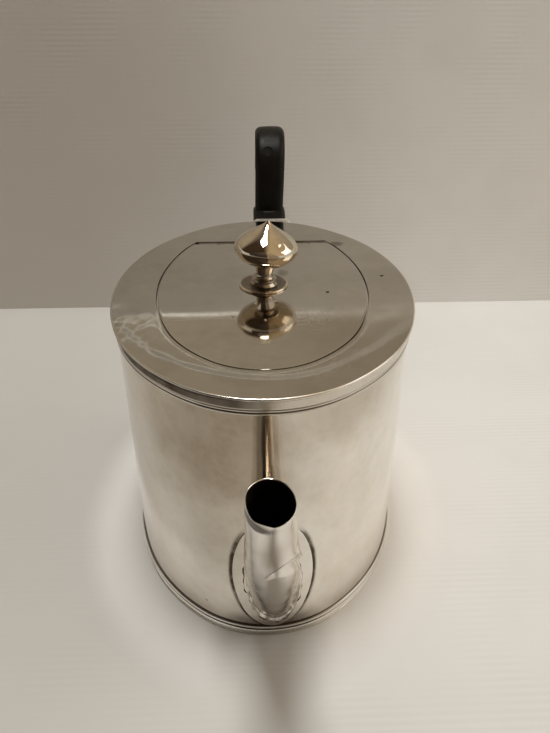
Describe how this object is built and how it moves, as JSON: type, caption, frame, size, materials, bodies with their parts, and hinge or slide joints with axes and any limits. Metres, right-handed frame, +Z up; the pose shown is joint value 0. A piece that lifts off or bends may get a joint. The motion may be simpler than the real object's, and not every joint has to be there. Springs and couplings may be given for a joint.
{
  "type": "teapot",
  "caption": "Oval drum teapot with straight tapering spout, flush hinged lid with a pointed knob, reeded mouldings and a black wooden loop handle in two sockets.",
  "frame": {"origin": "middle of the oval footprint, on the surface the pot stands on", "axes": "+X along the spout, +Z up, +Y to the left of someone looking from the handle along the spout"},
  "size_m": [0.2452, 0.104, 0.129],
  "materials": {
    "silver": "worn polished silver with fine scratches and a warm tone",
    "silver_inside": "dull tarnished silver, inside the pot",
    "ebony": "black wood, satin and slightly worn"
  },
  "bodies": {
    "pot": {"body_wall": "silver", "base_plate": "silver_inside", "foot_moulding": "silver", "shoulder_moulding": "silver", "top_plate": "silver", "lid_seat": "silver_inside", "spout": "silver", "spout_flange": "silver", "upper_socket": "silver", "lower_socket": "silver", "handle": "ebony", "upper_handle_pin": "silver", "lower_handle_pin": "silver", "handle_plug": "ebony", "body_hinge": "silver", "hinge_pin": "silver"},
    "lid": {"lid_plate": "silver", "lid_rim": "silver_inside", "lid_hinge": "silver", "knob_flange": "silver", "knob": "silver", "knob_stud": "silver_inside", "knob_nut": "silver_inside"}
  },
  "joints": [
    {"name": "lid_hinge_turn", "type": "hinge", "parent": "pot", "child": "lid", "pos_m": [-0.045, 0.0012, 0.0949], "axis": [0, -1, 0], "range_deg": [0, 95]}
  ]
}
